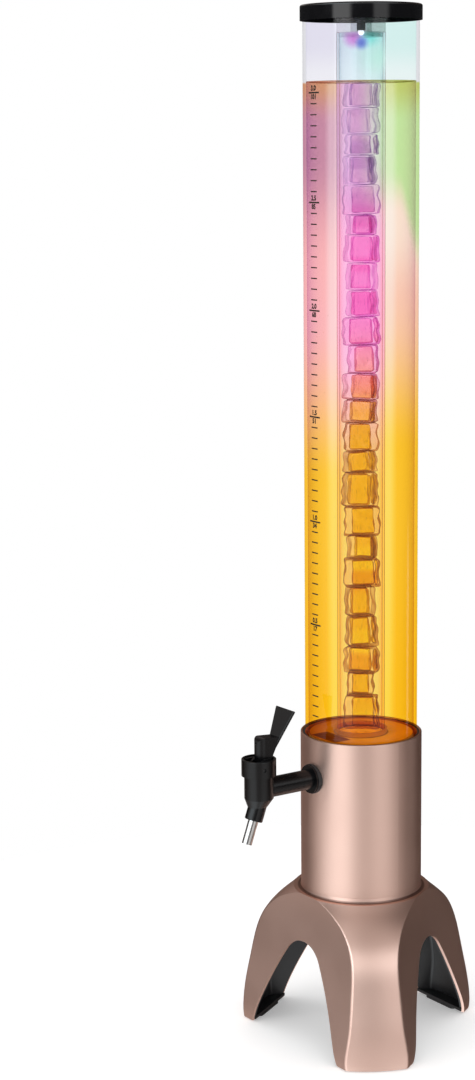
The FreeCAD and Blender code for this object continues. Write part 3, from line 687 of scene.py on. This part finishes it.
def beer_floor():
    """The vessel's floor as the beer's underside shows it, with the lamp's amber light painted on it as brown
    amber: painted shade over the sump, at the rim, round the ice tube's foot and on the left, and a painted
    glow under that tube. All of it gives off a little painted light."""
    soft = 0.001
    rim = (tube_bore - 0.0014, tube_bore - 0.0006)
    foot = (ice_radius - 0.0006, ice_radius - 0.0012)
    made, g = material("beer_floor")
    place = g.place()
    radius = g.from_axis(place)
    over_sump = g.math(
        "MULTIPLY",
        g.window(g.dot(place, (1, 0, 0)), -sump_half_width - soft, -sump_half_width,
                 sump_half_width, sump_half_width + soft),
        g.window(g.dot(place, (0, 1, 0)), sump_far - soft, sump_far, sump_near, sump_near + soft))
    cloud = g.noise(place, scale=90, detail=3)
    colour = g.mix(cloud, (0.68, 0.32, 0.030), (0.52, 0.23, 0.022))
    # painted shade over the sump
    colour = g.mix(over_sump, colour, (0.16, 0.035, 0.015))
    # painted shade at the rim and round the ice tube's foot
    colour = g.mix(g.step(radius, *rim), colour, (0.28, 0.07, 0.02))
    ring = g.window(radius, ice_radius - 0.0006, ice_radius, socket_radius + 0.0005, socket_radius + 0.002)
    colour = g.mix(g.math("MULTIPLY", ring, 0.85), colour, (0.25, 0.07, 0.02))
    # painted shade on the left
    bright = g.step(g.dot(place, picture_right / tube_radius), -0.9, 0.2)
    colour = g.mix(bright, g.times(colour, (0.62, 0.46, 0.50)), colour)
    # painted glow under the ice tube; the emission adds a little painted light all over
    colour = g.mix(g.step(radius, *foot), colour, (0.95, 0.72, 0.06))
    g.principled({"Base Color": colour, "Roughness": 0.45, "Specular IOR Level": 0.2,
                  "Emission Color": colour, "Emission Strength": g.step(radius, *foot, 0.22, 0.40),
                  "Normal": g.bump(cloud, strength=0.1, distance=0.0005)})
    return made


def ice_body():
    """Clear ice: pale, with painted shade in lines where its faces turn away, fainter on the upper left, and
    a few clouds and ripples."""
    made, g = material("ice")
    glow = Glow(g)
    flaws = g.noise(g.stretch(glow.place, (1, 1, 0.6)), scale=170, detail=3, roughness=0.6)
    faint = g.math("MULTIPLY", g.step(glow.level, 0.56, 0.66), g.step(glow.across, 0.05, -0.22))
    # painted shade where the ice's faces turn away
    lines = g.math("MULTIPLY", g.step(g.edge_on(), 0.38, 0.80), g.math("MULTIPLY_ADD", faint, -0.45, 1.0))
    colour = g.stained(lines, glow.ice(*wing_light), glow.ice(*line_shade_and_cracks))
    colour = g.stained(g.step(flaws, 0.55, 0.75, 0.0, 0.4), colour, (0.84, 0.70, 0.76))
    g.glassy(g.root(colour), 1.0, g.bump(flaws, strength=0.35, distance=0.0008))
    return made


def ice_core():
    """The heart of a cube, which its sides bend together: more strongly coloured by the lamp's painted light,
    deeper in some cubes and at its cracks, with dark lines in it and painted shade at its edges."""
    made, g = material("ice_core")
    glow = Glow(g)
    deeper = g.step(g.noise(g.stretch(glow.place, (0, 0, 40)), scale=1.0, detail=0), 0.45, 0.56)
    cracks = g.noise(g.stretch(glow.place, (1, 1, 0.5)), scale=260, detail=3, roughness=0.7)
    fine = g.noise(g.stretch(glow.place, (1, 1, 0.22)), scale=620, detail=4, roughness=0.75)
    deep = glow.ice(*deep_core_light)
    line = glow.ice(*line_shade_and_cracks)
    colour = g.mix(deeper, glow.ice(*core_light), deep)
    colour = g.mix(g.step(cracks, 0.55, 0.68, 0.0, 0.6), colour, deep)
    colour = g.stained(g.step(fine, 0.57, 0.66, 0.0, 0.55), colour, line)
    # painted shade at the core's edges
    colour = g.stained(g.step(g.edge_on(), 0.40, 0.80), colour, line)
    g.glassy(g.root(colour), 0.0)
    return made


def bubble_skin():
    """Clear face on, and brown at the rim."""
    made, g = material("bubble")
    rim = g.mix(g.noise(g.place(), scale=700), (0.75, 0.55, 0.35), (0.85, 0.7, 0.5))
    g.glassy(g.mix(g.edge_on(2.0), white, rim), 1.0)
    return made


# ---- Meshes ----
def piece(name, bm, made, body, smooth=True):
    """A mesh piece that rides a CAD body."""
    mesh = bpy.data.meshes.new(name)
    bmesh.ops.recalc_face_normals(bm, faces=bm.faces)
    bm.to_mesh(mesh)
    bm.free()
    for face in mesh.polygons:
        face.use_smooth = smooth
    for paint in made:
        mesh.materials.append(paint)
    obj = bpy.data.objects.new(name, mesh)
    bpy.context.scene.collection.objects.link(obj)
    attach(obj, body)


def lathe(points, steps=128):
    """A solid of revolution: the points (radius, height) go once round its section."""
    bm = bmesh.new()
    rings = []
    for step in range(steps):
        a = 2 * math.pi * step / steps
        rings.append([bm.verts.new((r * math.cos(a), r * math.sin(a), z)) for r, z in points])
    for step in range(steps):
        here, there = rings[step], rings[(step + 1) % steps]
        for i in range(len(points)):
            j = (i + 1) % len(points)
            bm.faces.new((here[i], here[j], there[j], there[i]))
    return bm


def make_beer():
    """The beer round the ice tube and its socket, and a film of it under that tube. Its surface creeps up
    the walls a little."""
    outer = tube_bore - skin
    inner = ice_radius + skin
    collar = socket_radius + skin
    low = vessel_floor + skin
    step_up = vessel_floor + socket_height + skin
    surface = []
    for i in range(beer_surface_steps + 1):
        r = outer + (inner - outer) * (1 - math.cos(math.pi * i / beer_surface_steps)) / 2
        from_wall = min(outer - r, r - inner)
        surface.append((r, beer_level + meniscus * math.exp(-from_wall / meniscus_reach)))
    bm = lathe([
        (collar, low), (outer, low), (outer, low + brink), (outer, surface[0][1] - brink), *surface,
        (inner, surface[-1][1] - brink), (inner, step_up + brink), (inner, step_up),
        (collar, step_up), (collar, step_up - brink), (collar, low + brink)])
    foot = ice_radius - skin
    film = lathe([(film_bore, low), (foot, low), (foot, low + skin), (film_bore, low + skin)])
    flat = bpy.data.meshes.new("film")
    film.to_mesh(flat)
    film.free()
    bm.from_mesh(flat)
    bpy.data.meshes.remove(flat)
    for face in bm.faces:
        face.material_index = 1 if face.calc_center_median().z < low + skin / 2 else 0
    piece("beer", bm, [beer_body(), beer_floor()], "tower")


def cube_surface():
    """The points of a cube's surface, from -1 to 1 and closer towards its edges, and its faces as lists of
    numbers."""
    steps = [math.sin(math.pi * (i / cube_cells - 0.5)) for i in range(cube_cells + 1)]
    numbers = {}
    faces = []
    for axis in range(3):
        for side in (-1.0, 1.0):
            for i in range(cube_cells):
                for j in range(cube_cells):
                    corners = []
                    for di, dj in ((0, 0), (1, 0), (1, 1), (0, 1)):
                        point = [0.0, 0.0, 0.0]
                        point[axis] = side
                        point[axis - 2] = steps[i + di]
                        point[axis - 1] = steps[j + dj]
                        corners.append(numbers.setdefault(tuple(point), len(numbers)))
                    faces.append(corners if side > 0 else corners[::-1])
    return [Vector(point) for point in numbers], faces


def ice_block(bm, centre, half, turn, seed, square, wave, material_index):
    """One closed block: a superellipsoid with a slight taper, a dimple in each side, wavy sides and an
    uneven surface."""
    points, faces = cube_surface()
    verts = []
    for flat in points:
        p = flat / sum(abs(c) ** square for c in flat) ** (1 / square)
        from_middle = sum(c * c for c in flat) - 1
        p *= 1 - cube_dimple * math.exp(-cube_dimple_falloff * from_middle)
        p = Vector((p.x * half[0], p.y * half[1], p.z * half[2]))
        phase = p.z * cube_waves * (1 + cube_waves_spread * math.sin(seed)) + cube_wave_shift * seed + flat.x
        p.x *= 1 - cube_taper * flat.z + wave * math.sin(phase)
        p.y *= 1 - cube_taper * flat.z
        wobble = noise.noise_vector(p * cube_lumps + Vector((seed, 0, 0))) * cube_unevenness
        wobble.z *= cube_unevenness_upwards
        verts.append(bm.verts.new(turn @ (p + wobble) + centre))
    for face in faces:
        bm.faces.new([verts[i] for i in face]).material_index = material_index


def ice_cube(bm, centre, half, turn, seed):
    """A cube and its core, which lies a little to one side, and in most a wavy flaw beside it."""
    inner = (half[0] * core_share, half[1] * core_share, half[2] * core_height_share)
    aside = turn @ Vector((half[0] * core_offset * math.sin(core_offset_turn * seed + 1), 0, 0))
    ice_block(bm, centre, half, turn, seed, cube_squareness, cube_wave, 0)
    ice_block(bm, centre + aside, inner, turn, seed, core_squareness, 0.0, 1)
    if seed % 3 != 1:
        chip = (chip_width, half[1] * core_share, half[2] * core_height_share)
        aside = turn @ Vector((half[0] * chip_place, 0, 0))
        ice_block(bm, centre + aside, chip, turn, seed, chip_squareness, chip_wave, 1)


def make_ice():
    """A stack of ice cubes in the ice tube, each a little different."""
    luck = random.Random(ice_seed)
    noise.seed_set(cube_unevenness_seed)    # otherwise Blender takes the clock's time
    bm = bmesh.new()
    lowest = cube_height[0] * cube_shrink
    z = ice_low.z + ice_floor + cube_gap
    count = 0
    while z < ice_stack_top - lowest:
        height = luck.uniform(*cube_height) * (cube_shrink if z > cube_shrink_above else 1.0)
        if ice_stack_top - (z + height) < lowest:
            height = ice_stack_top - z
        half = (luck.uniform(*cube_half_width), luck.uniform(*cube_half_depth), height / 2)
        turned = camera_azimuth + luck.choice((-1, 1)) * luck.uniform(*cube_turn)
        tilts = (luck.uniform(-cube_tilt, cube_tilt), luck.uniform(-cube_tilt, cube_tilt))
        turn = Euler([math.radians(a) for a in (*tilts, turned)]).to_matrix()
        offset = Vector((luck.uniform(-1, 1), luck.uniform(-1, 1), 0)) * cube_aside
        ice_cube(bm, Vector((0, 0, z + height / 2)) + offset, half, turn, count)
        z += height + cube_gap
        count += 1
    piece("ice_cubes", bm, [ice_body(), ice_core()], "ice_tube")


def on_tube(across, up, depth):
    """A point on the tube's outside: metres across from the scale's middle line, height, and depth over the
    wall."""
    a = math.radians(scale_azimuth) + across / tube_radius
    r = tube_radius + depth
    return Vector((r * math.sin(a), -r * math.cos(a), up))


def printed_bar(bm, length, width, height):
    """One mark of the scale, as a thin curved bar."""
    low, high = height - width / 2, height + width / 2
    under, over = ink_lift, ink_lift + ink_thickness
    loops = []
    for i in range(mark_steps + 1):
        across = length * (i / mark_steps - 0.5)
        loops.append([bm.verts.new(on_tube(across, up, depth))
                      for up, depth in ((low, under), (high, under), (high, over), (low, over))])
    for here, there in zip(loops, loops[1:]):
        for i in range(4):
            j = (i + 1) % 4
            bm.faces.new((here[i], here[j], there[j], there[i]))
    bm.faces.new(loops[0])
    bm.faces.new(reversed(loops[-1]))


def printed_figure(bm, text, height):
    """A plain number, centred on the scale's middle line."""
    curve = bpy.data.curves.new("figure", "FONT")
    curve.body = text
    curve.size = figure_size
    curve.align_x = "CENTER"
    curve.align_y = "CENTER"
    curve.extrude = ink_thickness / 2
    curve.offset = figure_boldness
    curve.resolution_u = 3
    figure = bpy.data.objects.new("figure", curve)
    bpy.context.scene.collection.objects.link(figure)
    bpy.context.view_layer.update()
    mesh = bpy.data.meshes.new_from_object(figure.evaluated_get(bpy.context.evaluated_depsgraph_get()))
    for vert in mesh.vertices:
        vert.co = on_tube(vert.co.x, height + vert.co.y, ink_lift + ink_thickness / 2 + vert.co.z)
    bm.from_mesh(mesh)
    bpy.data.objects.remove(figure)
    bpy.data.curves.remove(curve)
    bpy.data.meshes.remove(mesh)


def make_scale():
    """The marks, with litres over and ounces under each long one."""
    bm = bmesh.new()
    for number in range(scale_lowest, (scale_marks - 1) * scale_divisions + 1):
        height = scale_half_litre + scale_step * number / scale_divisions
        if number % scale_divisions:
            printed_bar(bm, short_mark, short_mark_width, height)
            continue
        printed_bar(bm, long_mark, long_mark_width, height)
        litres = 0.5 * (number // scale_divisions + 1)
        printed_figure(bm, f"{litres:.1f}", height + figure_lift)
        printed_figure(bm, f"{litres * ounces_per_litre:.0f}", height - figure_lift)
    piece("printed_scale", bm, [ink()], "tower", smooth=False)


def make_bubbles():
    """Bubbles that cling to the tube's wall."""
    luck = random.Random(bubble_seed)
    bm = bmesh.new()
    for _ in range(bubble_count):
        size = luck.uniform(*bubble_radii)
        a = luck.uniform(0, 2 * math.pi)
        r = tube_bore - skin - size - bubble_gap
        z = luck.uniform(vessel_floor + bubble_margin, beer_level - bubble_margin)
        place = Matrix.Translation((r * math.cos(a), r * math.sin(a), z))
        bmesh.ops.create_icosphere(bm, subdivisions=2, radius=size, matrix=place)
    piece("bubbles", bm, [bubble_skin()], "tower")


make_camera()
make_world()
for softbox in softboxes:
    make_lamp(*softbox)
make_floor()
dress(["base_shell", "collar"], rose_gold())
dress(["base_liner", "light_housing", "light_cover", "lever_pin"], plastic("black_abs", **black_abs))
dress(["base_core"], base_plastic())
dress(["lid"], plastic("polished_black", (0.006, 0.006, 0.007), roughness=0.10, grain=0.02, grain_size=200,
                       spread=0.03))
dress(["tap_body", "tap_nut", "bonnet", "lever", "valve_plunger"],
      plastic("satin_black", (0.003, 0.003, 0.0035), roughness=0.24, grain=0.02, grain_size=1400, spread=0.03,
              **{"Specular IOR Level": 0.36}))
dress(["foot_pads", "tap_washer", "tap_inner_gasket", "stem_seal", "valve_seal", "light_button"],
      plastic("black_rubber", (0.016, 0.016, 0.017), roughness=0.55, grain=0.3, grain_size=1100))
dress(["tube_gasket", "lid_gasket"],
      plastic("silicone", (0.70, 0.71, 0.70), roughness=0.40, grain=0.15, grain_size=700))
dress(["lid_plug"], frosted_plug())
dress(["spout_tube", "base_screws", "light_screws", "valve_spring"],
      metal("stainless", (0.68, 0.67, 0.66), roughness=0.14, lines=(1500, 1500, 25)))
dress(["button_cell"], metal("nickel", (0.72, 0.71, 0.69), roughness=0.20, lines=(25, 900, 900)))
dress(["light_board"], circuit_board())
dress(["main_tube"], tube_acrylic())
dress(["ice_tube"], ice_acrylic())
dress(["light_bulb"], lit_lamp())
make_beer()
make_ice()
make_scale()
make_bubbles()
bpy.context.scene.view_settings.view_transform = "Standard"
bpy.context.scene.cycles.transparent_max_bounces = 40
